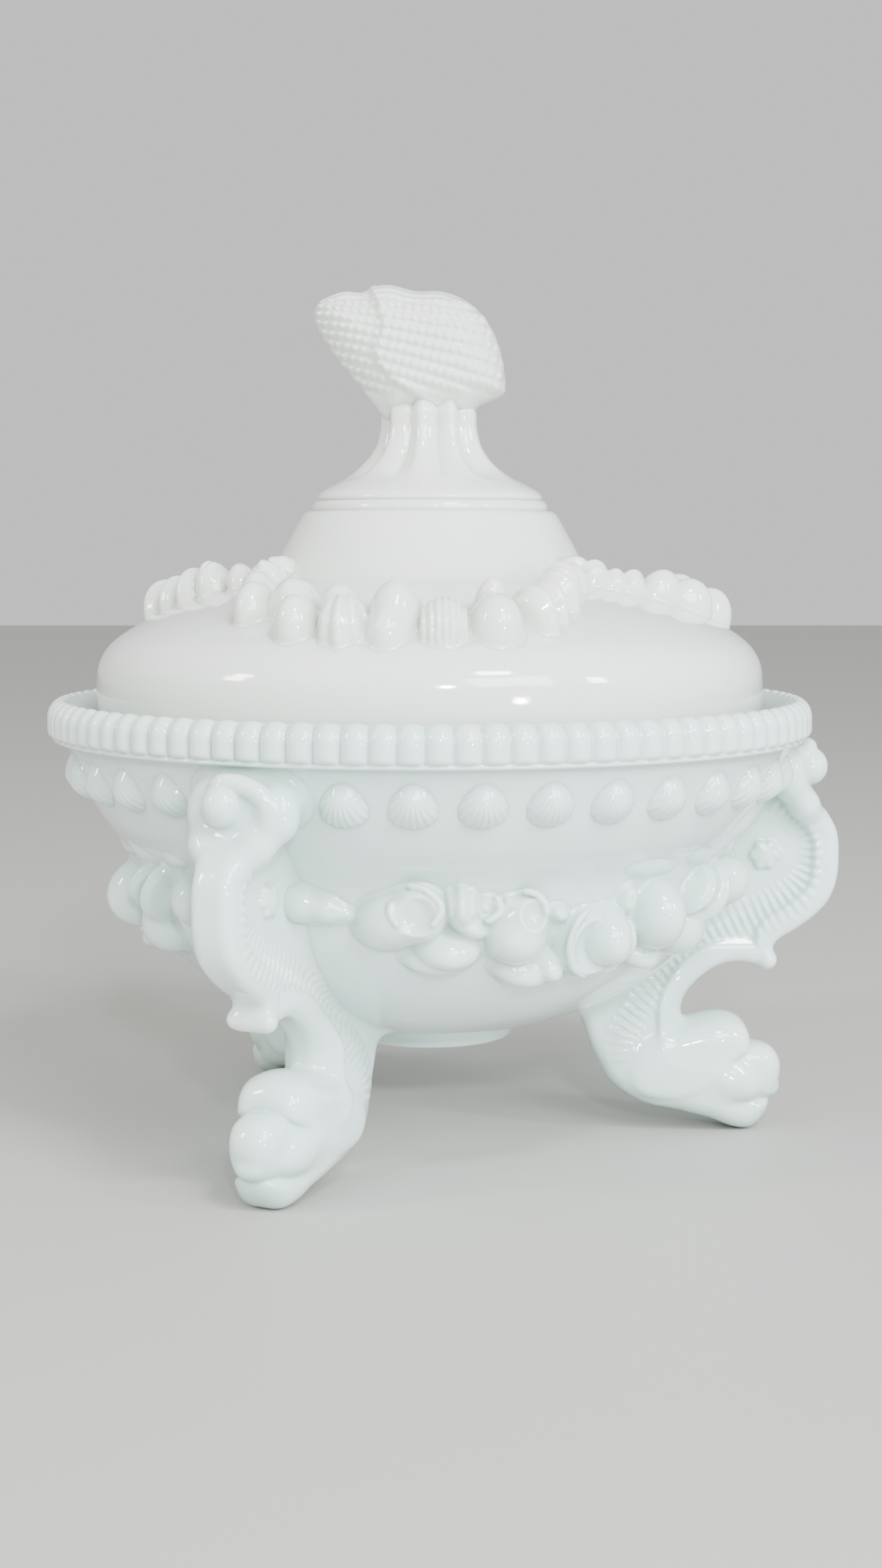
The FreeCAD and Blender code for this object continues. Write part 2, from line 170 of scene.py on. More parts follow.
class TurnedSurface:
    """Signed distance to a turned surface, negative inside, looked up in a table over (radius, height).

    The profile is closed on the far side of the axis, so that the axis itself is deep inside.
    """

    STEP = 0.25
    FAR_SIDE = -20.0

    def __init__(self, profile, low, high):
        ends = [[(self.FAR_SIDE, profile[end][1])] for end in (0, -1)]
        closed = np.concatenate([ends[0], profile, ends[1]])
        self.low = np.array(low, float)
        radii = np.arange(low[0], high[0], self.STEP)
        heights = np.arange(low[1], high[1], self.STEP)
        self.table = outline_distance(radii[:, None], heights[None, :], closed)

    def __call__(self, radius, height):
        u = (radius - self.low[0]) / self.STEP
        v = (height - self.low[1]) / self.STEP
        u, v = np.broadcast_arrays(u, v)
        i = np.clip(u.astype(int), 0, self.table.shape[0] - 2)
        j = np.clip(v.astype(int), 0, self.table.shape[1] - 2)
        fu, fv = np.clip(u - i, 0, 1), np.clip(v - j, 0, 1)
        t = self.table
        return (
            t[i, j] * (1 - fu) * (1 - fv) + t[i + 1, j] * fu * (1 - fv)
            + t[i, j + 1] * (1 - fu) * fv + t[i + 1, j + 1] * fu * fv
        )


# ---------------------------------------------------------------- solid modelling by distance fields


def soft_min(a, b, soft):
    """Union of two fields with a fillet of about the given size."""
    blend = np.maximum(soft - np.abs(a - b), 0.0) / soft
    return np.minimum(a, b) - blend * blend * soft * 0.25


def soft_max(a, b, soft):
    """Intersection of two fields with a rounded edge."""
    return -soft_min(-a, -b, soft)


class Block:
    """A box of space sampled on a grid, holding a distance field."""

    def __init__(self, low, high, step):
        self.low = np.array(low, float)
        self.step = step
        counts = [int(math.ceil((h - l) / step)) + 1 for l, h in zip(low, high)]
        self.axes = [l + step * np.arange(n) for l, n in zip(low, counts)]
        self.field = np.full(counts, FAR)

    def coordinates(self):
        x, y, z = self.axes
        return x[:, None, None], y[None, :, None], z[None, None, :]

    def window(self, centre, reach):
        """Slices and coordinates of the part of the block within reach of a centre."""
        slices, parts = [], []
        for axis, middle in zip(self.axes, centre):
            first = int(np.searchsorted(axis, middle - reach))
            last = max(int(np.searchsorted(axis, middle + reach)), first + 1)
            slices.append(slice(first, last))
            parts.append(axis[first:last])
        return tuple(slices), parts[0][:, None, None], parts[1][None, :, None], parts[2][None, None, :]

    def add(self, shape, soft=1.0):
        """Join a shape: an object with a centre, a reach and distance(x, y, z)."""
        where, x, y, z = self.window(shape.centre, shape.reach + soft + FAR)
        if self.field[where].size:
            self.field[where] = soft_min(self.field[where], shape.distance(x, y, z), soft)

    def dig(self, shape, soft=1.0):
        """Take a shape away."""
        where, x, y, z = self.window(shape.centre, shape.reach + soft + 1.0)
        if self.field[where].size:
            self.field[where] = soft_max(self.field[where], -shape.distance(x, y, z), soft)

    def surface(self):
        """Vertices and quads of the zero surface."""
        padded = np.pad(self.field, 1, constant_values=FAR).astype(np.float32)
        grid = openvdb.FloatGrid()
        grid.background = FAR
        grid.copyFromArray(padded)
        points, quads = grid.convertToQuads(isovalue=0.0)
        return (points - 1.0) * self.step + self.low, quads


class Ball:
    """Ellipsoid with three radii along three axes; cuts or ridges may be laid on its skin."""

    def __init__(self, centre, radii, axes=None, skin=None):
        self.centre = np.array(centre, float)
        self.radii = np.array(radii if np.ndim(radii) else [radii] * 3, float)
        self.axes = np.eye(3) if axes is None else np.array(axes, float)
        self.reach = float(self.radii.max())
        self.skin = skin

    def distance(self, x, y, z):
        dx, dy, dz = x - self.centre[0], y - self.centre[1], z - self.centre[2]
        local = [a[0] * dx + a[1] * dy + a[2] * dz for a in self.axes]
        scaled = [v / r for v, r in zip(local, self.radii)]
        near = np.sqrt(sum(v * v for v in scaled)) + 1e-9
        slope = np.sqrt(sum((v / r) ** 2 for v, r in zip(scaled, self.radii))) + 1e-9
        distance = near * (near - 1.0) / slope
        if self.skin:
            distance = distance - self.skin(*local)
        return distance


class Rod:
    """Round bar between two points, with a radius at each."""

    def __init__(self, start, end, start_radius, end_radius=None):
        self.start, self.end = np.array(start, float), np.array(end, float)
        self.start_radius = start_radius
        self.end_radius = start_radius if end_radius is None else end_radius
        self.centre = (self.start + self.end) / 2.0
        half_length = float(np.linalg.norm(self.end - self.start)) / 2.0
        self.reach = half_length + max(self.start_radius, self.end_radius)

    def distance(self, x, y, z):
        dx, dy, dz = x - self.start[0], y - self.start[1], z - self.start[2]
        bx, by, bz = self.end - self.start
        t = np.clip((dx * bx + dy * by + dz * bz) / (bx * bx + by * by + bz * bz), 0.0, 1.0)
        length = np.sqrt((dx - t * bx) ** 2 + (dy - t * by) ** 2 + (dz - t * bz) ** 2)
        return length - (self.start_radius + t * (self.end_radius - self.start_radius))


def rods(points, radii):
    """Chain of rods along a path."""
    ends = zip(points[:-1], points[1:], radii[:-1], radii[1:])
    return [Rod(start, end, first, second) for start, end, first, second in ends]


def grow_from(block, surface, sink, fillet, depth, skirt):
    """Blend an ornament into the turned surface it is moulded on.

    sink lays the fillet just under the wall's skin, depth is how deep the root goes into the wall,
    and skirt is how far the fillet may spread round the ornament.
    """
    x, y, z = block.coordinates()
    wall = surface(np.hypot(x, y), z)
    ornament = block.field
    blended = soft_min(ornament, wall + sink, fillet)
    blended = np.maximum(blended, ornament - skirt)
    block.field = soft_max(blended, -(wall + depth), 0.5)


# ---------------------------------------------------------------- meshes


def make_piece(name, points, faces, body, nodes, material):
    """Mesh object from millimetre points, riding on a body and standing for CAD nodes."""
    mesh = bpy.data.meshes.new(name)
    mesh.from_pydata((np.asarray(points) * MM).tolist(), [], [tuple(face) for face in faces])
    mesh.polygons.foreach_set("use_smooth", [True] * len(mesh.polygons))
    mesh.materials.append(material)
    piece = bpy.data.objects.new(name, mesh)
    bpy.context.scene.collection.objects.link(piece)
    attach(piece, body)
    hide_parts(*nodes)
    return piece


def turned_about_axis(points, degrees):
    angle = math.radians(degrees)
    c, s = math.cos(angle), math.sin(angle)
    return np.asarray(points) @ np.array([[c, s, 0], [-s, c, 0], [0, 0, 1]])


def make_copies(block, azimuths, prefix, node_names, body, material):
    """One piece at each azimuth, all from a block that is modelled along +X."""
    points, faces = block.surface()
    for name, azimuth in azimuths.items():
        turned = turned_about_axis(points, azimuth)
        nodes = [node_name.format(name) for node_name in node_names]
        make_piece(f"{prefix}_{name}", turned, faces, body, nodes, material)


def grid_faces(rows, columns, close_rows, close_columns):
    """Quads of a grid whose points are numbered row by row."""
    row = np.arange(rows if close_rows else rows - 1)
    column = np.arange(columns if close_columns else columns - 1)
    i, j = np.meshgrid(row, column, indexing="ij")
    k, m = (i + 1) % rows, (j + 1) % columns
    corners = [i * columns + j, i * columns + m, k * columns + m, k * columns + j]
    return np.stack(corners, axis=-1).reshape(-1, 4)


def turned_grid(radius, height, angles):
    """Points at each radius, height and angle, row by row."""
    return np.stack([radius * np.cos(angles), radius * np.sin(angles), height], axis=-1).reshape(-1, 3)


def lathe(profile, columns, shift=None):
    """Turn a profile about Z. It is a loop, unless its two ends lie on the axis.

    shift(angle, row) moves the surface along the profile's left-hand normal.
    """
    profile = np.asarray(profile, float)
    capped = profile[0][0] < 1e-6 and profile[-1][0] < 1e-6
    angles = np.arange(columns) * 2 * math.pi / columns
    rows = profile[1:-1] if capped else profile
    radius = np.repeat(rows[:, :1], columns, axis=1)
    height = np.repeat(rows[:, 1:], columns, axis=1)
    if shift is not None:
        tangent = np.gradient(rows, axis=0)
        tangent /= np.linalg.norm(tangent, axis=1, keepdims=True)
        amount = shift(angles[None, :], np.arange(len(rows))[:, None])
        radius = radius + amount * tangent[:, 1:]
        height = height - amount * tangent[:, :1]
    points = turned_grid(radius, height, angles)
    faces = [tuple(face) for face in grid_faces(len(rows), columns, not capped, True)]
    if capped:
        bottom, top = len(points), len(points) + 1
        points = np.concatenate([points, [(0, 0, profile[0][1]), (0, 0, profile[-1][1])]])
        last = (len(rows) - 1) * columns
        for column in range(columns):
            after = (column + 1) % columns
            faces.append((bottom, after, column))
            faces.append((top, last + column, last + after))
    return points, faces


# ---------------------------------------------------------------- materials


def socket(node, name, value):
    node.inputs[name].default_value = value


# Sockets of a colour mix node, which share their names.
MIX_FACTOR, MIX_FIRST, MIX_SECOND, MIX_RESULT = 0, 6, 7, 2
PIT_SHARE = 0.08


def add_noise(nodes, links, place, scale, detail, roughness=0.5):
    noise = nodes.new("ShaderNodeTexNoise")
    socket(noise, "Scale", scale)
    socket(noise, "Detail", detail)
    socket(noise, "Roughness", roughness)
    links.new(place.outputs["Object"], noise.inputs["Vector"])
    return noise


def milk_glass(name, body_colour, cool_colour, painted_shade_colour):
    """Opaque milk glass: soft scattering, a hard wet gloss, faint clouding and the ripple of the mould.

    The colour drifts between body and cool in broad clouds. In the hollows that ambient occlusion finds, it
    goes to a darker
    painted shade colour: painted shade in creases and recesses.
    """
    material = bpy.data.materials.new(name)
    material.use_nodes = True
    nodes, links = material.node_tree.nodes, material.node_tree.links
    shader = nodes["Principled BSDF"]
    socket(shader, "Roughness", 0.09)
    socket(shader, "IOR", 1.5)
    socket(shader, "Subsurface Weight", 0.55)
    socket(shader, "Subsurface Radius", (1.0, 1.05, 0.95))
    socket(shader, "Subsurface Scale", 0.0014)
    socket(shader, "Coat Weight", 0.35)
    socket(shader, "Coat Roughness", 0.03)

    place = nodes.new("ShaderNodeTexCoord")
    cloud = add_noise(nodes, links, place, 26.0, 3.0, 0.55)
    cloudiness = nodes.new("ShaderNodeValToRGB")
    for stop, position, colour in zip(
        cloudiness.color_ramp.elements, (0.35, 0.65), (cool_colour, body_colour)
    ):
        stop.position = position
        stop.color = (*colour, 1)
    links.new(cloud.outputs["Fac"], cloudiness.inputs["Fac"])

    # painted shade: ambient occlusion darkens the base colour towards the painted shade colour in creases
    # and recesses
    painted_shade = nodes.new("ShaderNodeAmbientOcclusion")
    painted_shade.samples = 8
    socket(painted_shade, "Distance", 0.025)
    shade_mix = nodes.new("ShaderNodeMix")
    shade_mix.data_type = "RGBA"
    shade_mix.inputs[MIX_FIRST].default_value = (*painted_shade_colour, 1)
    links.new(painted_shade.outputs["AO"], shade_mix.inputs[MIX_FACTOR])
    links.new(cloudiness.outputs["Color"], shade_mix.inputs[MIX_SECOND])
    links.new(shade_mix.outputs[MIX_RESULT], shader.inputs["Base Color"])

    ripple = add_noise(nodes, links, place, 95.0, 2.0)
    pits = add_noise(nodes, links, place, 900.0, 2.0)
    relief = nodes.new("ShaderNodeMath")
    relief.operation = "MULTIPLY_ADD"
    links.new(pits.outputs["Fac"], relief.inputs[0])
    relief.inputs[1].default_value = PIT_SHARE
    links.new(ripple.outputs["Fac"], relief.inputs[2])
    bump = nodes.new("ShaderNodeBump")
    socket(bump, "Strength", 0.35)
    socket(bump, "Distance", 0.0004)
    links.new(relief.outputs["Value"], bump.inputs["Height"])
    links.new(bump.outputs["Normal"], shader.inputs["Normal"])
    return material


def floor_material():
    material = bpy.data.materials.new("pale_floor")
    material.use_nodes = True
    shader = material.node_tree.nodes["Principled BSDF"]
    socket(shader, "Base Color", (0.50, 0.49, 0.47, 1))
    socket(shader, "Roughness", 0.6)
    return material


# ---------------------------------------------------------------- bowl


def build_bowl(material):
    """The bowl with its foot ring, band, rim and lid seat, as one turned wall."""
    foot = [(0.0, 22.4), (9.0, 22.5), (15.6, 22.3)]
    ring = [(15.9, 21.6), (16.9, 21.5), (17.5, 22.1), (17.7, 23.6), (18.2, 24.7)]
    profile = joined_profile(foot, ring, BELLY[2:], BAND, RIM_TOP, SEAT, INNER_BOWL)
    points, faces = lathe(profile, LATHE_COLUMNS)
    make_piece("bowl_body", points, faces, "base", ["bowl_shell", "foot_ring"], material)


COLUMNS_PER_RIB = 12
RIB_CREST = [
    (79.2, 86.35), (79.85, 87.0), (79.9, 89.0), (79.85, 90.6), (79.4, 92.0), (78.5, 93.1), (77.4, 93.65),
    (76.4, 93.45), (75.6, 92.8),
]
RIB_VALLEY = [
    (77.9, 86.35), (78.0, 87.0), (78.05, 89.0), (78.0, 90.2), (77.7, 91.2), (77.2, 91.9), (76.6, 92.35),
    (76.0, 92.5), (75.4, 92.2),
]


def build_rim(material):
    """Round-ended ribs that roll over the rim, with a thin wavy lip under them."""
    lip = spline([(76.6, 85.3), (78.2, 85.25), (78.9, 85.6), (78.7, 86.2)], 4)
    back = spline([(75.0, 91.0), (75.4, 88.0), (76.0, 86.0)], 4)
    crest = np.concatenate([lip, spline(RIB_CREST, 4), back])
    lip_between_ribs = lip - np.array([0.25, 0.0])
    valley = np.concatenate([lip_between_ribs, spline(RIB_VALLEY, 4), back])
    columns = RIB_COUNT * COLUMNS_PER_RIB
    angles = np.arange(columns) * 2 * math.pi / columns
    phase = (np.degrees(angles) - RIB_START) * RIB_COUNT / 360.0
    across = 2.0 * (phase - np.round(phase))
    height = np.sqrt(np.maximum(1.0 - across * across, 0.0))[None, :, None]
    section = valley[:, None, :] * (1.0 - height) + crest[:, None, :] * height
    points = turned_grid(section[..., 0], section[..., 1], angles)
    faces = grid_faces(len(crest), columns, True, True)
    make_piece("rim_beads", points, faces, "base", ["rim_beading"], material)


SCALLOPS_PER_BAY = 10
SCALLOP_PITCH = 10.0
SCALLOP_FIRST = 15.0  # from the leg to the first scallop beside it
SCALLOP_HALF_WIDTH = 4.75
SCALLOP_HALF_HEIGHT = 4.7
SCALLOP_NARROWING = 0.24
SCALLOP_APEX = 4.9
SCALLOP_PROUD = 3.0
SCALLOP_ROOT = -2.6
SCALLOP_RIBS = 34.0
SCALLOP_RIB_DEPTH = 0.16
SCALLOP_RADIUS = 75.0


def scallop_patch():
    """One small scallop laid flat: across, up and lift of its points, and its faces.

    The front is a grid; its edge is repeated at the root, inside the wall, and closed by a fan.
    """
    columns, rows = 49, 45
    u, v = np.meshgrid(np.linspace(-5.3, 5.3, columns), np.linspace(-5.3, 5.0, rows), indexing="ij")
    half_width = SCALLOP_HALF_WIDTH * (1.0 - SCALLOP_NARROWING * v / SCALLOP_HALF_HEIGHT)
    away = np.sqrt((u / half_width) ** 2 + (v / SCALLOP_HALF_HEIGHT) ** 2)
    dome = SCALLOP_PROUD * (1.0 - np.minimum(away, 1.22) ** 2.0)
    from_apex = np.hypot(u, SCALLOP_APEX - v)
    fan = np.arctan2(u, SCALLOP_APEX - v)
    ribs = np.cos(fan * SCALLOP_RIBS) * smooth_step(from_apex, 1.6, 4.5) * smooth_step(away, 1.06, 0.95)
    lift = dome + SCALLOP_RIB_DEPTH * ribs

    edge = np.array(
        [(i, 0) for i in range(columns)] + [(columns - 1, j) for j in range(1, rows)]
        + [(i, rows - 1) for i in range(columns - 2, -1, -1)] + [(0, j) for j in range(rows - 2, 0, -1)]
    )
    edge = edge[:, 0] * rows + edge[:, 1]
    back = columns * rows + np.arange(len(edge))
    centre = columns * rows + len(edge)
    faces = [tuple(face) for face in grid_faces(columns, rows, False, False)]
    for index, corner in enumerate(edge):
        after = (index + 1) % len(edge)
        faces.append((edge[after], corner, back[index], back[after]))
        faces.append((back[after], back[index], centre))
    across = np.concatenate([u.ravel(), u.ravel()[edge], [0.0]])
    rise = np.concatenate([v.ravel(), v.ravel()[edge], [0.0]])
    lift = np.concatenate([lift.ravel(), np.full(len(edge) + 1, SCALLOP_ROOT)])
    return across, rise, lift, faces


def build_frieze(material):
    """Thirty small scallops under the rim, ten between two legs, each with a fan of ribs from its top."""
    low, high = np.array(BAND[3]), np.array(BAND[5])
    up = (high - low) / np.linalg.norm(high - low)
    out = np.array([up[1], -up[0]])
    middle = low + (high - low) * 0.43
    across, rise, lift, patch_faces = scallop_patch()
    radius = middle[0] + up[0] * rise + out[0] * lift
    height = middle[1] + up[1] * rise + out[1] * lift
    points, faces = [], []
    for leg in LEG_AZIMUTHS.values():
        for place in range(SCALLOPS_PER_BAY):
            start = len(points) * len(across)
            angles = math.radians(leg + SCALLOP_FIRST + SCALLOP_PITCH * place) + across / SCALLOP_RADIUS
            points.append(turned_grid(radius, height, angles))
            faces += [tuple(start + corner for corner in face) for face in patch_faces]
    points = np.concatenate(points)
    make_piece("frieze_scallops", points, faces, "base", ["scallop_frieze"], material)


# ---------------------------------------------------------------- legs

LEG_OUTLINE = [
    (66.0, 83.0), (74.0, 84.0), (79.0, 81.0), (79.6, 76.5), (80.0, 73.6), (82.2, 71.4), (84.9, 68.4),
    (87.0, 64.2), (87.4, 59.0), (87.0, 54.0), (85.3, 49.6), (82.2, 46.2), (78.2, 43.3), (75.0, 41.4),
    (73.6, 39.7), (73.7, 37.4), (73.1, 35.3), (71.6, 34.9), (69.4, 35.8), (66.5, 36.4), (63.4, 36.2),
    (60.3, 34.9), (57.3, 32.5), (55.1, 29.8), (54.0, 27.0), (54.0, 24.0), (54.0, 19.0), (52.0, 10.0),
    (48.0, 7.4), (43.2, 9.7), (39.4, 12.6), (36.2, 16.2), (34.0, 20.0), (32.6, 24.0),
    (31.0, 30.0), (40.0, 46.0), (54.0, 66.0),
]
LEG_STRAP = [
    (79.6, 76.5), (80.0, 73.6), (82.2, 71.4), (84.9, 68.4), (87.0, 64.2), (87.4, 59.0), (87.0, 54.0),
    (85.3, 49.6), (82.2, 46.2), (78.2, 43.3), (75.0, 41.4),
]
LEG_ARCH = [
    (74.0, 36.5), (71.6, 34.9), (69.4, 35.8), (66.5, 36.4), (63.4, 36.2), (60.3, 34.9), (57.3, 32.5),
    (55.1, 29.8), (54.0, 27.0), (54.0, 24.0), (54.0, 19.0),
]
LEG_FLUTES = [
    (73.6, 70.6), (78.6, 67.6), (81.2, 60.8), (79.8, 54.0), (74.8, 49.2), (67.5, 45.6), (60.5, 42.0),
    (54.0, 37.2), (48.4, 32.0), (43.6, 26.6), (40.2, 20.8), (40.4, 15.5),
]
FLUTE_PITCH = 1.8
FLUTE_STEP = 2.5  # a flute sinks and starts again after each such length
FLUTE_DEPTH = 0.85
LEG_BOSS = (71.2, 59.6)  # the rosette on each side panel
PETAL_COUNT = 6
PANEL_HALF = 3.0
CUFF = [
    (49.0, 22.6), (54.0, 24.0), (57.5, 24.9), (61.4, 25.5), (64.8, 25.0), (67.3, 23.4), (68.4, 20.9),
    (68.0, 18.8), (64.6, 17.3), (60.4, 15.2), (56.6, 13.0), (51.0, 11.6), (45.0, 12.0), (43.0, 17.0),
]
FOOT = [
    (46.0, 17.0), (56.0, 18.0), (65.0, 18.6), (70.6, 18.6), (73.8, 17.4), (75.5, 14.6), (75.5, 11.2),
    (74.4, 8.2), (71.8, 6.2), (62.0, 5.4), (52.0, 7.2), (44.0, 11.0),
]
PAD = [
    (40.0, 12.2), (44.0, 9.4), (50.0, 6.8), (56.0, 4.3), (61.0, 2.2), (65.0, 0.6), (68.4, 0.2), (71.0, 1.7),
    (72.8, 4.4), (72.6, 6.8), (67.0, 8.2), (58.0, 9.6), (48.0, 13.0), (42.0, 15.0),
]


def leg_plate(block):
    """The flat body of the leg: outer strap, sunk side panels with flutes, and the broad shin.

    half is half the thickness across the leg, at each place in the XZ plane.
    """
    x, y, z = block.coordinates()
    x2, z2 = x[:, :, 0], z[0]
    outline = outline_distance(x2, z2, spline(LEG_OUTLINE, 4, closed=True))
    strap, _ = path_coordinates(x2, z2, spline(LEG_STRAP, 4))
    arch, _ = path_coordinates(x2, z2, spline(LEG_ARCH, 4))
    near_flutes, along = path_coordinates(x2, z2, spline(LEG_FLUTES, 4))
    half = PANEL_HALF + 1.5 * smooth_step(strap, 6.6, 5.2)
    shin = smooth_step(z2, 37.0, 27.0)
    face = (3.4 + 3.2 * smooth_step(arch, 0.0, 5.0)) * shin + 4.5 * (1.0 - shin)
    panel = PANEL_HALF + 2.6 * shin
    edge = smooth_step(arch, 6.4, 5.0) * smooth_step(z2, 43.0, 39.0)
    half = np.maximum(half, edge * face + (1.0 - edge) * panel)
    flutes = (0.5 + 0.5 * np.cos(2 * math.pi * along / FLUTE_PITCH)) ** 0.8
    flutes *= 1.0 - 0.5 * (near_flutes / FLUTE_STEP % 1.0) ** 3
    reach = 2.4 + 2.4 * smooth_step(along, 14.0, 26.0) - 1.2 * smooth_step(along, 44.0, 58.0)
    fade = np.clip((reach - near_flutes) / reach, 0.0, 1.0) ** 0.6
    half += FLUTE_DEPTH * flutes * fade * smooth_step(arch, 5.2, 6.6)
    plate = np.abs(y) - half[:, None, :]
    block.field = soft_max(plate, outline[:, None, :], 2.8)


def add_slab(block, outline, half, rounding, toe_taper, heel_taper, crease, sag=0.0):
    """Pillow across the leg, from an outline in the XZ plane.

    It narrows to the toe and the heel by the tapers, and sinks to the sides by sag times the square of
    the distance. crease is the fillet at the toe and at the heel, where it joins what is there already.
    """
    x, y, z = block.coordinates()
    x2, z2 = x[:, :, 0], z[0]
    flat = outline_distance(x2, z2, spline(outline, 4, closed=True))
    distance = np.empty(block.field.shape)
    heights = block.axes[2]
    for column, across in enumerate(block.axes[1]):
        lifted = np.minimum(heights + sag * across * across, heights[-1])
        index = (lifted - heights[0]) / block.step
        low = np.minimum(index.astype(int), len(heights) - 2)
        part = index - low
        distance[:, column, :] = flat[:, low] * (1.0 - part) + flat[:, low + 1] * part
    narrow = half - toe_taper * smooth_step(x2, 60.0, 76.0) - heel_taper * smooth_step(x2, 58.0, 44.0)
    slab = soft_max(np.abs(y) - narrow[:, None, :], distance, rounding)
    toe_crease, heel_crease = crease
    soft = toe_crease + (heel_crease - toe_crease) * smooth_step(x, 68.0, 54.0)
    block.field = soft_min(block.field, slab, soft)


def build_leg_field():
    """One leg, standing out along +X."""
    block = Block((26.0, -14.0, -0.6), (88.2, 14.0, 86.6), 0.36)
    leg_plate(block)
    for side in (-1, 1):
        block.add(Ball((LEG_BOSS[0], side * 3.0, LEG_BOSS[1]), (2.7, 1.6, 2.7)), 0.6)
        for petal in range(PETAL_COUNT):
            turn = 2 * math.pi * petal / PETAL_COUNT
            dx, dz = 2.2 * math.cos(turn), 2.2 * math.sin(turn)
            block.add(Ball((LEG_BOSS[0] + dx, side * 3.1, LEG_BOSS[1] + dz), (1.2, 1.1, 1.2)), 0.5)
    # head of the scroll: a broad flange, a thin leaf on one side and a full lobe on the other
    block.add(Ball((75.0, 0.8, 77.4), (3.2, 10.6, 6.6)), 2.0)
    block.add(Ball((77.6, 0.4, 76.0), (3.4, 7.2, 6.6)), 2.5)
    for side, offset, proud in ((-1, 6.8, 75.6), (1, 8.6, 76.6)):
        block.add(Ball((proud, side * offset, 77.2), (3.5, 3.9, 4.9)), 2.0)
        taper = [
            (proud + 0.5, side * (offset + 0.4), 74.8), (79.2, side * 5.6, 70.4), (81.8, side * 3.4, 66.6),
        ]
        for rod in rods(taper, (2.8, 2.6, 1.6)):
            block.add(rod, 2.5)
    # ridge that rolls over from the ball and comes down round the full lobe
    block.dig(Ball((82.6, 4.8, 77.6), (2.2, 1.9, 2.8), tilted(14)), 1.6)
    hood = spline([
        (79.8, -2.8, 80.8), (80.9, -0.4, 82.4), (80.4, 3.6, 82.2), (79.5, 7.0, 80.2),
        (79.0, 8.4, 77.0), (78.8, 7.4, 73.8),
    ], 3)
    for rod in rods(hood, [1.4] * len(hood)):
        block.add(rod, 1.2)
    block.add(Ball((81.0, -0.5, 78.3), (4.0, 3.9, 4.1)), 0.5)
    # spur at the end of the scroll
    block.add(Rod((72.3, -3.6, 36.9), (72.3, 3.6, 36.9), 1.7), 1.2)
    build_paw(block)
    return block


def tilted(degrees):
    """Axes tipped in the XZ plane; positive lowers the +X end."""
    angle = math.radians(degrees)
    c, s = math.cos(angle), math.sin(angle)
    return [(c, 0, -s), (0, 1, 0), (s, 0, c)]


def build_paw(block):
    """Heel, foot with one broad toe and one on each side, claw, pad under them, and the cuff on top."""
    block.add(Ball((45.0, 0.0, 16.0), (9.5, 6.4, 7.2), tilted(34)), 4.0)
    add_slab(block, FOOT, half=6.8, rounding=5.0, toe_taper=1.8, heel_taper=0.6, crease=(1.5, 5.0))
    block.add(Ball((66.8, 0.8, 12.6), (8.4, 4.4, 5.9), tilted(6)), 1.4)
    for side in (-1, 1):
        block.add(Ball((62.0, side * 5.2, 11.6), (8.6, 3.3, 4.6), tilted(16)), 1.8)
    block.add(Ball((73.2, 0.0, 8.9), (2.4, 3.2, 2.4)), 0.8)
    add_slab(block, PAD, half=7.2, rounding=4.6, toe_taper=2.2, heel_taper=2.6, crease=(0.5, 5.0))
    add_slab(
        block, CUFF, half=8.2, rounding=2.6, toe_taper=3.4, heel_taper=0.3, crease=(0.4, 2.0), sag=0.05
    )


def build_legs(bowl_surface, material):
    """Three legs on flat soles."""
    block = build_leg_field()
    grow_from(block, bowl_surface, sink=0.08, fillet=3.2, depth=3.0, skirt=3.0)
    block.field = np.maximum(block.field, -block.coordinates()[2])
    nodes = ["leg_{}_scroll", "leg_{}_paw"]
    make_copies(block, LEG_AZIMUTHS, "leg", nodes, "base", material)


# ---------------------------------------------------------------- fruit garlands and shell swags


def place_on(profile, azimuth, column, value, lift=0.0):
    """Point on a turned profile, with the directions across, up and out of the surface there.

    column 0 looks the value up as a radius and column 1 as a height.
    """
    ordered = profile[np.argsort(profile[:, column])]

    def at(v):
        return np.array([np.interp(v, ordered[:, column], ordered[:, k]) for k in (0, 1)])

    slope = at(value + 1.0) - at(value - 1.0)
    if slope[1] < 0:
        slope = -slope
    slope /= np.linalg.norm(slope)
    radius, height = at(value) + lift * np.array([slope[1], -slope[0]])
    angle = math.radians(azimuth)
    c, s = math.cos(angle), math.sin(angle)
    across = np.array([-s, c, 0.0])
    up = np.array([slope[0] * c, slope[0] * s, slope[1]])
    out = np.array([slope[1] * c, slope[1] * s, -slope[0]])
    return np.array([radius * c, radius * s, height]), across, up, out


def leaned(across, up, degrees):
    """The across and up directions turned in the surface; positive turns the top towards +across."""
    angle = math.radians(degrees)
    c, s = math.cos(angle), math.sin(angle)
    return c * across - s * up, s * across + c * up


def bump(profile, column, azimuth, value, width, length, proud, lean=0.0, sunk=1.8, skin=None):
    """Egg-shaped ornament lying on a surface: proud is how far it stands out."""
    centre, across, up, out = place_on(profile, azimuth, column, value, -sunk)
    across, up = leaned(across, up, lean)
    return Ball(centre, (width / 2.0, length / 2.0, proud + sunk), (across, up, out), skin)


def path_on(profile, column, points, lifts):
    """Positions along a surface from (azimuth, value) pairs."""
    return [place_on(profile, a, column, v, lift)[0] for (a, v), lift in zip(points, lifts)]


# A skin gives the relief on a shell, from the distances across, up and out from its centre.


def fan_ribs(apex, count, depth):
    """Ribs that spread from a point at the top of a shell; count is per half turn."""
    plain = 0.6 * apex

    def skin(across, up, out):
        angle = np.arctan2(across, apex - up)
        away = np.hypot(across, apex - up)
        return depth * np.cos(2.0 * count * angle) * smooth_step(away, plain, plain + 3.5)

    return skin


def upright_ribs(pitch, depth, low, high):
    """Ribs along the shell between two levels."""

    def skin(across, up, out):
        fade = smooth_step(up, low - 1.2, low) * smooth_step(up, high + 0.8, high)
        return depth * np.cos(2 * math.pi * across / pitch) * fade

    return skin


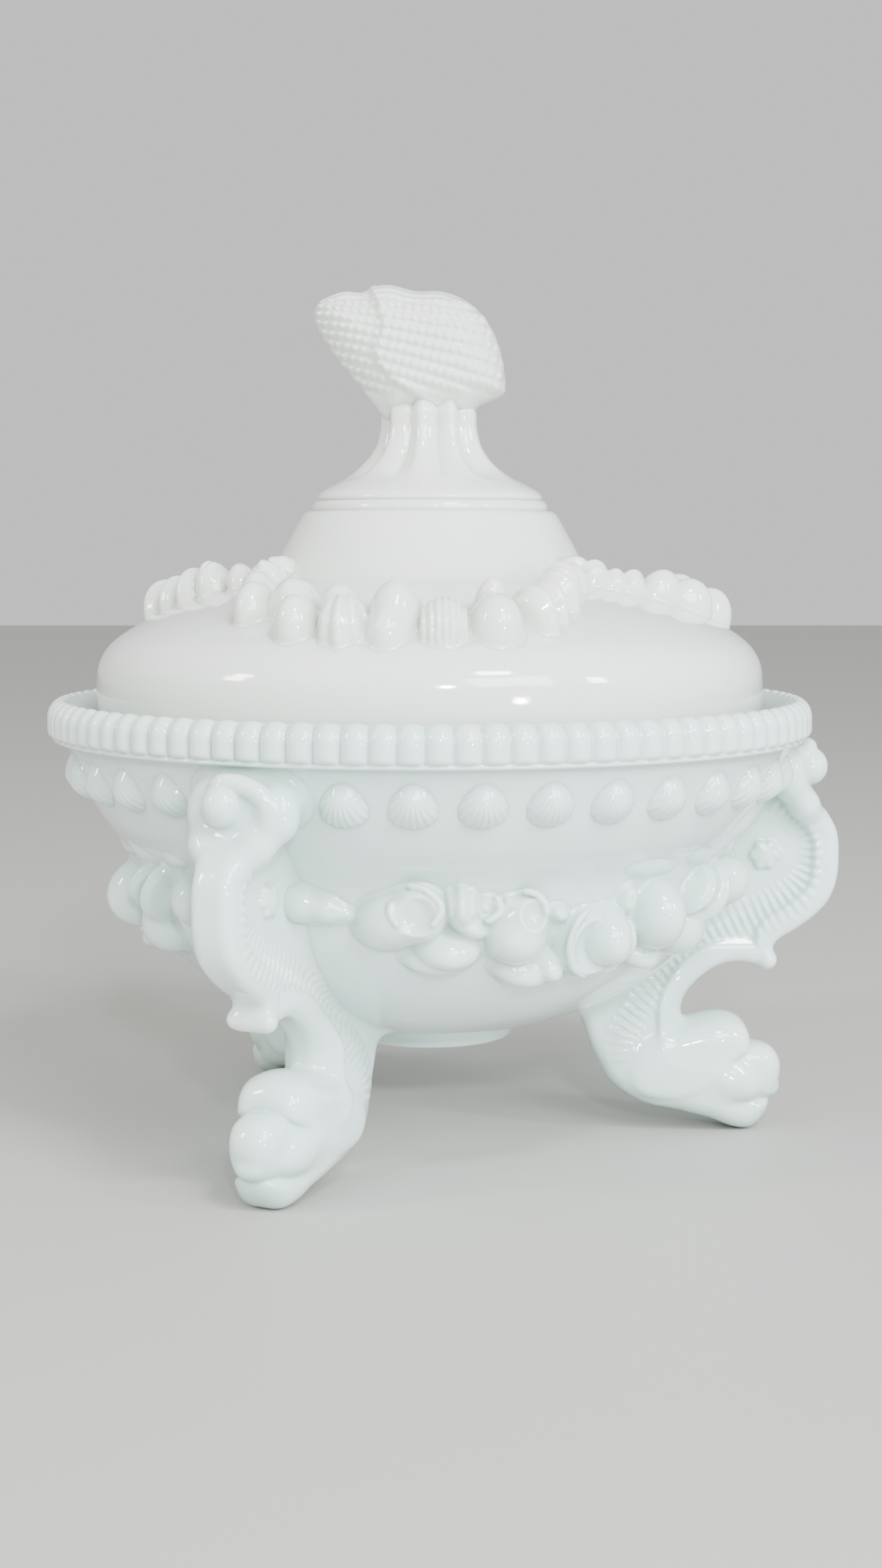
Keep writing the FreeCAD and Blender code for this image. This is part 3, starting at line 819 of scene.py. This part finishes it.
def rings(apex, pitch, depth, reach):
    """Raised rings round a point at the top of a shell."""

    def skin(across, up, out):
        away = np.sqrt(across * across + (apex - up) ** 2 + 0.5 * out * out)
        return depth * np.cos(2 * math.pi * away / pitch) * smooth_step(away, reach, reach - 1.5)

    return skin


def build_garland_field():
    """Fruit and leaves between two legs, centred on +X."""
    wall = spline(BELLY + BAND, 6)
    block = Block((26.0, -58.5, 40.5), (69.5, 58.5, 70.0), 0.34)

    def fruit(azimuth, height, width, tall, proud, lean=0.0, soft=0.35, skin=None):
        block.add(bump(wall, 1, azimuth, height, width, tall, proud, lean, skin=skin), soft)

    def hollow(azimuth, height, lift, width, tall, deep, lean=0.0, soft=0.6):
        centre, across, up, out = place_on(wall, azimuth, 1, height, lift)
        across, up = leaned(across, up, lean)
        block.dig(Ball(centre, (width / 2.0, tall / 2.0, deep), (across, up, out)), soft)

    def rim(points, lifts):
        path = spline(path_on(wall, 1, points, lifts), 4)
        for rod in rods(path, [0.5] * len(path)):
            block.add(rod, 0.6)

    # horn-shaped ribbon from the leg
    ribbon_line = [(-61, 58.6), (-56, 58.2), (-51, 57.2), (-46, 56.0)]
    ribbon = path_on(wall, 1, ribbon_line, (-0.4, -0.2, -0.1, -0.2))
    for rod in rods(ribbon, (4.2, 3.5, 2.3, 1.1)):
        block.add(rod, 2.2)
    # flat leaves above the fruit
    fruit(9.5, 63.4, 15.0, 5.0, 1.0, 4.0, 0.3)
    fruit(24.0, 63.9, 13.0, 4.8, 1.0, 14.0, 0.3)
    fruit(36.5, 64.0, 8.0, 4.0, 0.9, 10.0, 0.3)
    # pomegranate with its open crown
    fruit(-38.8, 55.6, 16.4, 11.8, 5.2, -14.0)
    fruit(-34.6, 57.2, 11.6, 12.6, 6.8, -30.0, 1.4)
    hollow(-34.8, 60.2, 8.2, 11.2, 10.6, 4.6, -30.0, 0.2)
    fruit(-36.0, 58.8, 5.0, 6.0, 3.4, -40.0, 1.8)
    rim([(-36.0, 63.6), (-33.4, 63.6), (-31.2, 61.4), (-30.8, 58.6), (-32.2, 56.0)],
        (1.6, 2.6, 3.9, 4.9, 5.5))
    rim([(-38.9, 60.6), (-39.0, 58.2), (-37.8, 56.0)], (3.6, 4.8, 5.5))
    # lower pod
    fruit(-31.4, 47.8, 14.0, 6.6, 3.8, 3.0)
    fruit(-29.4, 50.0, 13.4, 8.2, 5.8, 4.0, 0.2)
    # bud with upright folds
    fruit(-27.4, 58.2, 6.8, 9.4, 5.4, 0.0, 0.35, upright_ribs(2.7, 0.28, -0.5, 4.2))
    fruit(-25.6, 54.6, 8.4, 5.0, 4.0, 30.0, 1.0)
    # open cup between the bud and the round fruit
    fruit(-22.4, 57.3, 6.4, 6.8, 3.2, -20.0, 0.4)
    hollow(-22.9, 58.1, 4.6, 5.2, 5.6, 3.0, -20.0, 0.2)
    fruit(-23.2, 58.0, 2.4, 2.8, 2.6, 0.0, 0.4)
    rim([(-21.4, 60.6), (-20.7, 58.8), (-21.2, 57.0), (-23.0, 56.0)], (1.6, 2.2, 2.6, 2.8))
    fruit(-19.4, 58.6, 1.8, 3.6, 2.2, 14.0, 0.4)
    # round fruit with a dimple
    fruit(-17.2, 52.4, 13.0, 12.6, 6.2, 0.0)
    fruit(-15.8, 56.2, 9.6, 9.6, 6.2, 0.0, 1.6)
    hollow(-15.4, 59.0, 7.0, 6.4, 7.4, 3.8, 0.0, 0.2)
    rim([(-16.8, 62.2), (-14.8, 61.8), (-13.4, 59.8), (-13.3, 57.4)], (2.0, 2.8, 3.8, 4.4))
    # pod under the round fruit
    fruit(-14.6, 45.4, 14.0, 7.6, 4.8, 8.0)
    fruit(-10.4, 46.6, 7.4, 6.6, 5.6, 30.0, 1.0)
    # small curl between the round fruit and the peach
    fruit(-9.4, 56.0, 5.2, 3.8, 2.2, 25.0)
    hollow(-9.2, 56.2, 2.8, 2.8, 1.7, 0.9, 25.0, 0.2)
    # peach half out of its cup
    fruit(-3.6, 49.8, 14.6, 14.6, 6.4, 0.0)
    fruit(0.4, 46.4, 13.0, 6.0, 4.4, 6.0, 0.8)
    hollow(-2.2, 51.6, 7.6, 14.6, 14.4, 6.0, -4.0, 0.15)
    rim([(-5.4, 57.2), (-7.6, 55.4), (-8.6, 52.8), (-8.4, 50.2), (-7.0, 47.8), (-4.4, 46.2)],
        (3.6, 4.2, 4.4, 4.6, 4.8, 4.8))
    fruit(0.5, 51.0, 11.2, 12.8, 7.6, 0.0, 0.1)
    fruit(6.2, 49.0, 4.0, 9.4, 3.6, 6.0, 0.3)
    # ear-shaped curl above
    fruit(4.6, 57.8, 4.6, 7.2, 3.0, 12.0, 0.4)
    hollow(4.4, 58.2, 3.8, 2.6, 4.2, 1.5, 12.0, 0.2)
    # egg with the fruit behind it
    fruit(12.8, 46.0, 10.4, 6.4, 4.4, -4.0)
    fruit(24.4, 49.0, 13.4, 12.0, 5.0, 34.0, 0.3)
    fruit(12.4, 54.0, 11.8, 15.2, 7.6, -4.0, 0.1)
    # pair of slender leaves
    leaf_ribs = upright_ribs(1.5, 0.16, -5.0, 5.0)
    fruit(23.8, 57.6, 5.8, 13.4, 5.8, 36.0, 0.2, leaf_ribs)
    fruit(29.6, 56.6, 5.6, 15.0, 6.0, 22.0, 0.2, leaf_ribs)
    # last round fruit by the leg
    fruit(41.4, 56.8, 11.8, 12.4, 6.6, 0.0, 0.15)
    fruit(51.0, 58.4, 8.0, 6.6, 3.4, 0.0, 0.8)
    return block


def build_garlands(bowl_surface, material):
    block = build_garland_field()
    grow_from(block, bowl_surface, sink=0.05, fillet=1.1, depth=2.4, skirt=1.5)
    make_copies(block, BAY_AZIMUTHS, "garland", ["fruit_garland_{}"], "base", material)


def build_swag_field():
    """Sea shells hung in a curve across the lid, centred on +X."""
    dome = outer_lid_profile()
    dome = dome[dome[:, 0] > COLLAR[-1][0] - 0.2]
    block = Block((12.0, -42.0, 105.0), (66.0, 42.0, 128.0), 0.34)

    def shell(azimuth, radius, width, length, proud, lean=0.0, soft=0.35, skin=None):
        block.add(bump(dome, 0, azimuth, radius, width, length, proud, lean, skin=skin), soft)

    # string of beads down from the collar
    for azimuth, radius, size, proud in (
        (-59.8, 33.4, 6.6, 4.4), (-57.8, 37.6, 7.6, 5.0), (-53.4, 41.0, 6.0, 4.2), (-49.0, 43.6, 6.8, 4.8),
    ):
        shell(azimuth, radius, size, size * 1.1, proud, -50.0, 0.4, upright_ribs(2.4, 0.16, -3.0, 3.0))
    # thick crescent
    shell(-40.6, 48.2, 8.8, 11.0, 6.4, -44.0)
    shell(-36.0, 53.6, 8.6, 12.0, 6.4, -12.0, 1.8)
    # leaf cup and the egg in its mouth
    shell(-27.6, 51.4, 10.8, 12.4, 6.4, -26.0, 0.3, fan_ribs(7.0, 5.0, 0.12))
    shell(-22.6, 58.8, 9.2, 12.0, 6.6, -8.0, 0.1)
    # cup and fan
    shell(-15.8, 53.6, 9.4, 9.6, 6.2, -6.0, 0.2)
    shell(-13.2, 58.8, 10.2, 13.8, 6.6, -4.0, 0.1, fan_ribs(7.4, 11.0, 0.34))
    # conch
    shell(-3.9, 56.0, 11.4, 13.8, 8.2, 4.0, 0.1, rings(7.6, 1.9, 0.14, 6.5))
    shell(-4.9, 61.2, 8.0, 9.4, 5.2, 8.0, 2.4)
    # ribbed scallop
    shell(5.0, 59.0, 10.8, 13.0, 6.6, 0.0, 0.1, upright_ribs(1.35, 0.3, -5.4, 5.6))
    # onion with its cap
    shell(14.5, 58.9, 11.0, 13.4, 7.0, 0.0, 0.1)
    shell(14.8, 53.0, 7.4, 7.2, 7.6, 0.0, 0.6, rings(3.4, 1.5, 0.16, 5.0))
    # two long lobes
    lobe_ribs = upright_ribs(2.6, 0.14, -4.0, 4.0)
    shell(22.6, 56.2, 7.0, 12.8, 7.0, -30.0, 0.15, lobe_ribs)
    shell(27.2, 52.6, 6.8, 11.0, 6.4, -28.0, 0.15, lobe_ribs)
    # lobes climbing back to the collar
    shell(32.0, 48.4, 7.0, 11.4, 6.6, -36.0, 0.15, lobe_ribs)
    shell(36.6, 44.6, 7.8, 9.8, 6.8, -46.0, 0.2, upright_ribs(1.7, 0.2, -1.5, 4.5))
    shell(46.4, 39.6, 6.6, 9.6, 4.8, -58.0, 0.4)
    shell(54.6, 36.0, 5.4, 6.8, 3.8, -64.0, 0.4)
    return block


def build_swags(lid_surface, material):
    block = build_swag_field()
    grow_from(block, lid_surface, sink=0.05, fillet=0.8, depth=2.4, skirt=1.3)
    make_copies(block, SWAG_AZIMUTHS, "swag", ["shell_swag_{}"], "lid", material)


# ---------------------------------------------------------------- lid and finial


def build_lid(material):
    """Lid with its collar and the ring that keeps it centred in the bowl."""
    profile = joined_profile(LID_INSIDE, LOCATING_RING, DOME, COLLAR, DISC_BASE)
    points, faces = lathe(profile, LATHE_COLUMNS)
    nodes = ["lid_shell", "lid_collar", "lid_locating_ring"]
    make_piece("lid_body", points, faces, "lid", nodes, material)


def build_stem(material):
    """Disc with a rounded lip, and the pleated stem that flares out over it."""
    disc = [
        (0.0, 131.6), (16.0, 131.6), (23.6, 131.7), (24.5, 132.3), (24.6, 133.3), (24.0, 134.3),
        (22.6, 134.6),
    ]
    disc_top = [(21.0, 134.7), (12.0, 134.8), (0.0, 134.8)]
    points, faces = lathe(joined_profile(disc, disc_top), LATHE_COLUMNS // 2)
    make_piece("finial_ledge", points, faces, "lid", ["finial_disc"], material)

    underside = [(0.0, 133.9), (22.4, 133.9)]
    flare = [
        (23.4, 134.6), (23.5, 135.3), (22.5, 136.4), (20.2, 137.7), (17.4, 139.2), (14.2, 141.2),
        (11.8, 143.7), (10.3, 146.6), (9.6, 150.0), (9.5, 153.2), (8.0, 156.0),
    ]
    profile = joined_profile(underside, flare, [(0.0, 157.4)], steps=8)
    height = profile[:, 1]
    pleated = smooth_step(height, 138.2, 142.0) * smooth_step(profile[:, 0], 3.0, 8.0)

    def shift(angle, row):
        """Nine pleats of uneven width, with a fine ripple; row 0 is the profile's second point."""
        lobes = np.abs(np.sin(4.5 * angle + 0.5 * np.sin(angle + 0.6) + 0.35))
        fine = np.cos(18.0 * angle + 0.8)
        return pleated[row[:, 0] + 1][:, None] * (2.0 * lobes - 1.5 + 0.1 * fine)

    points, faces = lathe(profile, LATHE_COLUMNS, shift)
    make_piece("finial_stem_pleats", points, faces, "lid", ["finial_stem"], material)


SHELL_OUTLINE = [
    (-24.1, 172.4), (-23.5, 174.8), (-21.5, 176.5), (-17.6, 177.7), (-14.3, 177.5), (-11.4, 178.7),
    (-7.8, 178.9), (-2.9, 177.7), (1.9, 177.7), (6.0, 176.6), (8.5, 175.0), (11.2, 172.6), (13.4, 169.0),
    (14.8, 165.1), (15.4, 162.0), (15.8, 157.9), (15.0, 156.1), (13.1, 155.2), (10.5, 154.0),
    (7.0, 152.0), (-7.4, 150.8), (-10.0, 152.0), (-12.8, 155.5), (-15.2, 158.7), (-19.3, 163.6),
    (-22.5, 168.4),
]
SHELL_STEP = [
    (-13.2, 179.6), (-10.8, 174.0), (-9.9, 169.5), (-11.6, 164.4), (-8.6, 159.6), (-3.0, 155.6),
    (3.0, 152.0),
]
SHELL_APEX = (-78.0, 182.7)  # where the ribs would meet, far outside the shell
SHELL_RIB_ANGLE = 0.030
SHELL_BEAD_PITCH = 1.8
SHELL_GROWTH_PITCH = 1.25
SHELL_HALF_THICKNESS = 11.4
SHELL_SHOULDER = 10.0
SHELL_SLOPE = 8.5


def build_finial_shell(material):
    """Cockle shell on its side: beaded ribs, growth lines near the upper edge, and a step at one end.

    The body is a pillow over the outline, with its full thickness from SHELL_SHOULDER inside the
    outline, and the relief is added to its skin.
    """
    block = Block((-25.5, -12.5, 150.0), (17.5, 12.5, 180.0), 0.25)
    x, y, z = block.coordinates()
    x2, z2 = x[:, :, 0], z[0]
    inside = -outline_distance(x2, z2, spline(SHELL_OUTLINE, 3, closed=True))
    edge_rise = 1.0 - np.clip(inside / SHELL_SHOULDER, -1.0, 1.0)
    pillow = np.sqrt((y / SHELL_HALF_THICKNESS) ** 2 + edge_rise[:, None, :] ** 2) - 1.0

    across, down = x2 - SHELL_APEX[0], SHELL_APEX[1] - z2
    rib = 1.0 - np.abs(np.sin(math.pi * np.arctan2(down, across) / SHELL_RIB_ANGLE)) ** 3
    bead = 0.5 + 0.5 * np.cos(2 * math.pi * np.hypot(across, down) / SHELL_BEAD_PITCH)
    shown = smooth_step(inside, -0.4, 1.2) * smooth_step(z2, 176.2, 174.6) * smooth_step(z2, 155.0, 158.6)
    growth = np.cos(2 * math.pi * inside / SHELL_GROWTH_PITCH)
    growth *= smooth_step(z2, 173.8, 175.4) * smooth_step(inside, 0.3, 1.0)

    step_line = spline(SHELL_STEP, 5)
    step, _ = path_coordinates(x2, z2, step_line)
    beyond = np.interp(z2, step_line[::-1, 1], step_line[::-1, 0]) > x2
    side = np.where(beyond, -step, step)
    sunk = smooth_step(side, 0.6, -0.6) * smooth_step(inside, -0.5, 2.5)
    lip = np.exp(-((side - 0.8) / 0.7) ** 2)

    relief = rib * (0.26 + 0.46 * bead) * (0.08 + 0.92 * shown) + 0.10 * growth - 0.8 * sunk + 0.22 * lip
    block.field = np.minimum(pillow * SHELL_SLOPE - relief[:, None, :], FAR)
    points, faces = block.surface()
    make_piece("finial_cockle", points, faces, "lid", ["finial_shell"], material)


# ---------------------------------------------------------------- stage, light and camera


LIGHT_TARGET = (0.0, 0.0, 0.09)
CAMERA_PLACE = (0.0, -0.4977, 0.1264)
CAMERA_PITCH = 5.92
CAMERA_YAW = 0.27
CAMERA_LENS = 54.1


def build_stage():
    bpy.ops.mesh.primitive_plane_add(size=6.0, location=(0, 0, 0))
    floor = bpy.context.object
    floor.name = "floor"
    floor.data.materials.append(floor_material())


def add_light(name, place, size, power, colour=(1, 1, 1)):
    data = bpy.data.lights.new(name, "AREA")
    data.shape = "RECTANGLE"
    data.size, data.size_y = size
    data.energy = power
    data.color = colour
    light = bpy.data.objects.new(name, data)
    light.location = place
    direction = Vector(LIGHT_TARGET) - Vector(place)
    light.rotation_euler = direction.to_track_quat("-Z", "Y").to_euler()
    bpy.context.scene.collection.objects.link(light)


def build_light():
    world = bpy.data.worlds.new("studio")
    world.use_nodes = True
    background = world.node_tree.nodes["Background"]
    socket(background, "Color", (0.80, 0.82, 0.80, 1))
    socket(background, "Strength", 1.0)
    bpy.context.scene.world = world
    add_light("window_wide", (0.55, -1.05, 0.7), (0.6, 0.45), 15.0, (0.95, 1.0, 1.0))
    add_light("window_high", (0.35, -0.75, 0.95), (0.20, 0.14), 8.0, (0.97, 1.0, 1.0))
    add_light("window_left", (-0.9, -0.35, 0.55), (0.12, 0.24), 5.0, (1.0, 0.96, 0.88))
    add_light("window_right", (0.8, -0.5, 0.5), (0.10, 0.20), 4.0, (0.93, 0.98, 1.0))
    add_light("sparkle_front", (0.1, -1.1, 0.45), (0.05, 0.08), 6.0)
    add_light("sparkle_low", (0.5, -0.9, 0.12), (0.04, 0.06), 3.0)


def build_camera():
    camera_data = bpy.data.cameras.new("view")
    camera_data.sensor_fit = "VERTICAL"
    camera_data.sensor_height = 36.0
    camera_data.lens = CAMERA_LENS
    camera_data.clip_start = 0.01
    camera = bpy.data.objects.new("view", camera_data)
    camera.location = CAMERA_PLACE
    camera.rotation_euler = (math.radians(90.0 - CAMERA_PITCH), 0.0, -math.radians(CAMERA_YAW))
    bpy.context.scene.collection.objects.link(camera)
    bpy.context.scene.camera = camera


# ---------------------------------------------------------------- build

base_glass = milk_glass(
    "base_milk_glass",
    body_colour=(0.81, 0.95, 0.93),
    cool_colour=(0.75, 0.93, 0.92),
    # painted shade colour for the creases and recesses of the base
    painted_shade_colour=(0.42, 0.58, 0.52),
)
lid_glass = milk_glass(
    "lid_milk_glass",
    body_colour=(0.88, 0.92, 0.89),
    cool_colour=(0.85, 0.91, 0.88),
    # painted shade colour for the creases and recesses of the lid
    painted_shade_colour=(0.64, 0.67, 0.61),
)

bowl_surface = TurnedSurface(outer_bowl_profile(), (20.0, 15.0), (92.0, 95.0))
lid_surface = TurnedSurface(outer_lid_profile(), (8.0, 84.0), (74.0, 134.0))

build_bowl(base_glass)
build_rim(base_glass)
build_frieze(base_glass)
build_legs(bowl_surface, base_glass)
build_garlands(bowl_surface, base_glass)
build_lid(lid_glass)
build_swags(lid_surface, lid_glass)
build_stem(lid_glass)
build_finial_shell(lid_glass)
build_stage()
build_light()
build_camera()
